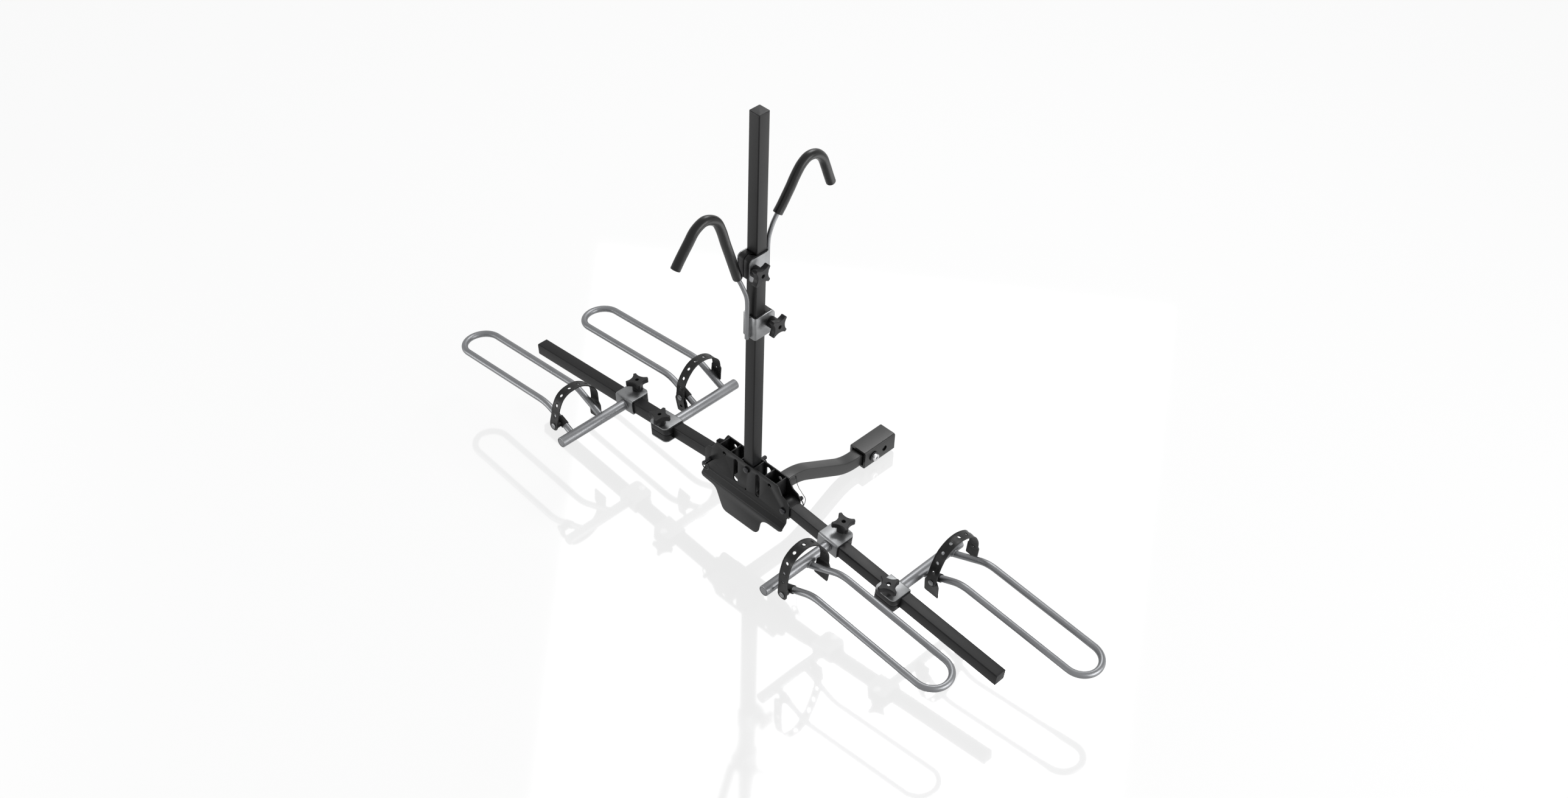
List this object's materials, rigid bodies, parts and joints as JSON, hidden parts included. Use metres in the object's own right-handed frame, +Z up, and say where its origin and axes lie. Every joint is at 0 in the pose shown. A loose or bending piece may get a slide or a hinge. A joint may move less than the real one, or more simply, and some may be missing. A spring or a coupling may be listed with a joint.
{
  "type": "hitch bike rack",
  "caption": "Platform-style hitch bicycle carrier: bent hitch bar, folding side arms with wire wheel holders and rubber straps, and a square mast with padded hook arms.",
  "frame": {"origin": "on the hitch sleeve's top face, on its centre line, above the axis of the hitch pin hole", "axes": "+X along the arm on the right seen from behind the vehicle, +Y toward the vehicle along the sleeve, +Z up along the mast"},
  "size_m": [1.7726, 0.7043, 1.1821],
  "materials": {
    "powder_coat": "satin black powder coat",
    "steel": "satin silver coated steel",
    "zinc": "bright zinc plate",
    "black_plastic": "moulded, fine texture",
    "rubber": "matte strap rubber",
    "foam": "closed-cell foam"
  },
  "bodies": {
    "frame": {"bracket_front_plate": "powder_coat", "bracket_back_plate": "powder_coat", "bracket_web_1": "powder_coat", "bracket_web_2": "powder_coat", "bracket_web_3": "powder_coat", "bracket_web_4": "powder_coat", "bracket_web_5": "powder_coat", "bracket_web_6": "powder_coat", "hitch_shank": "powder_coat", "hitch_sleeve": "powder_coat", "sleeve_bolt": "zinc", "mast": "powder_coat", "mast_cap": "black_plastic", "pin_tether": "zinc"},
    "right_arm": {"right_arm": "powder_coat", "right_arm_knuckle": "powder_coat", "right_arm_plug": "black_plastic"},
    "right_arm_pin": {"right_arm_pin": "zinc"},
    "right_pin_ring": {"right_pin_ring": "zinc"},
    "left_arm": {"left_arm": "powder_coat", "left_arm_knuckle": "powder_coat", "left_arm_plug": "black_plastic"},
    "left_arm_pin": {"left_arm_pin": "zinc"},
    "left_pin_ring": {"left_pin_ring": "zinc"},
    "mast_pin": {"mast_pin": "zinc"},
    "mast_pin_ring": {"mast_pin_ring": "zinc"},
    "front_left_holder": {"front_left_clamp_bracket": "steel", "front_left_clamp_liner": "black_plastic", "front_left_cross_tube": "steel", "front_left_wheel_loop": "steel", "front_left_strap": "rubber"},
    "front_left_knob": {"front_left_clamp_knob": "black_plastic"},
    "rear_left_holder": {"rear_left_clamp_bracket": "steel", "rear_left_clamp_liner": "black_plastic", "rear_left_cross_tube": "steel", "rear_left_wheel_loop": "steel", "rear_left_strap": "rubber"},
    "rear_left_knob": {"rear_left_clamp_knob": "black_plastic"},
    "front_right_holder": {"front_right_clamp_bracket": "steel", "front_right_clamp_liner": "black_plastic", "front_right_cross_tube": "steel", "front_right_wheel_loop": "steel", "front_right_strap": "rubber"},
    "front_right_knob": {"front_right_clamp_knob": "black_plastic"},
    "rear_right_holder": {"rear_right_clamp_bracket": "steel", "rear_right_clamp_liner": "black_plastic", "rear_right_cross_tube": "steel", "rear_right_wheel_loop": "steel", "rear_right_strap": "rubber"},
    "rear_right_knob": {"rear_right_clamp_knob": "black_plastic"},
    "front_hook": {"front_hook_clamp_bracket": "steel", "front_hook_clamp_liner": "black_plastic", "front_hook_rod": "steel", "front_hook_foam": "foam"},
    "front_hook_knob": {"front_hook_clamp_knob": "black_plastic"},
    "rear_hook": {"rear_hook_clamp_bracket": "steel", "rear_hook_clamp_liner": "black_plastic", "rear_hook_rod": "steel", "rear_hook_foam": "foam"},
    "rear_hook_knob": {"rear_hook_clamp_knob": "black_plastic"}
  },
  "joints": [
    {"name": "right_arm_fold", "type": "hinge", "parent": "frame", "child": "right_arm", "pos_m": [0.118, -0.431, 0.1336], "axis": [0, -1, 0], "range_deg": [0, 95.4]},
    {"name": "right_pin_draw", "type": "slide", "parent": "frame", "child": "right_arm_pin", "axis": [0, -1, 0], "range_m": [0, 0.013]},
    {"name": "right_ring_swing", "type": "hinge", "parent": "right_arm_pin", "child": "right_pin_ring", "pos_m": [0.118, -0.396, 0.1336], "axis": [1, 0, 0], "range_deg": [0, 80]},
    {"name": "left_arm_fold", "type": "hinge", "parent": "frame", "child": "left_arm", "pos_m": [-0.118, -0.431, 0.1336], "axis": [0, 1, 0], "range_deg": [0, 95.4]},
    {"name": "left_pin_draw", "type": "slide", "parent": "frame", "child": "left_arm_pin", "axis": [0, 1, 0], "range_m": [0, 0.013]},
    {"name": "left_ring_swing", "type": "hinge", "parent": "left_arm_pin", "child": "left_pin_ring", "pos_m": [-0.118, -0.466, 0.1336], "axis": [-1, 0, 0], "range_deg": [0, 100]},
    {"name": "mast_pin_draw", "type": "slide", "parent": "frame", "child": "mast_pin", "axis": [0, -1, 0], "range_m": [0, 0.013]},
    {"name": "mast_ring_swing", "type": "hinge", "parent": "mast_pin", "child": "mast_pin_ring", "pos_m": [0, -0.396, 0.1796], "axis": [1, 0, 0], "range_deg": [0, 100]},
    {"name": "front_left_holder_slide", "type": "slide", "parent": "left_arm", "child": "front_left_holder", "axis": [-0.9956, 0, -0.0939], "range_m": [-0.035, 0.1]},
    {"name": "front_left_knob_turn", "type": "hinge", "parent": "front_left_holder", "child": "front_left_knob", "pos_m": [-0.419, -0.404, 0.10874], "axis": [-0.0939, 0, 0.9956], "continuous": true},
    {"name": "rear_left_holder_slide", "type": "slide", "parent": "left_arm", "child": "rear_left_holder", "axis": [-0.9956, 0, -0.0939], "range_m": [-0.065, 0.035]},
    {"name": "rear_left_knob_turn", "type": "hinge", "parent": "rear_left_holder", "child": "rear_left_knob", "pos_m": [-0.27941, -0.458, 0.1219], "axis": [-0.0939, 0, 0.9956], "continuous": true},
    {"name": "front_right_holder_slide", "type": "slide", "parent": "right_arm", "child": "front_right_holder", "axis": [0.9956, 0, -0.0939], "range_m": [-0.04, 0.06]},
    {"name": "front_right_knob_turn", "type": "hinge", "parent": "front_right_holder", "child": "front_right_knob", "pos_m": [0.25562, -0.404, 0.12414], "axis": [0.0939, 0, 0.9956], "continuous": true},
    {"name": "rear_right_holder_slide", "type": "slide", "parent": "right_arm", "child": "rear_right_holder", "axis": [0.9956, 0, -0.0939], "range_m": [-0.06, 0.1]},
    {"name": "rear_right_knob_turn", "type": "hinge", "parent": "rear_right_holder", "child": "rear_right_knob", "pos_m": [0.44219, -0.458, 0.10655], "axis": [0.0939, 0, 0.9956], "continuous": true},
    {"name": "front_hook_slide", "type": "slide", "parent": "frame", "child": "front_hook", "axis": [0, 0, 1], "range_m": [-0.3, 0.005]},
    {"name": "front_hook_knob_turn", "type": "hinge", "parent": "front_hook", "child": "front_hook_knob", "pos_m": [0, -0.404, 0.5976], "axis": [1, 0, 0], "continuous": true},
    {"name": "rear_hook_slide", "type": "slide", "parent": "frame", "child": "rear_hook", "axis": [0, 0, 1], "range_m": [-0.005, 0.3]},
    {"name": "rear_hook_knob_turn", "type": "hinge", "parent": "rear_hook", "child": "rear_hook_knob", "pos_m": [0, -0.458, 0.7624], "axis": [1, 0, 0], "continuous": true}
  ]
}
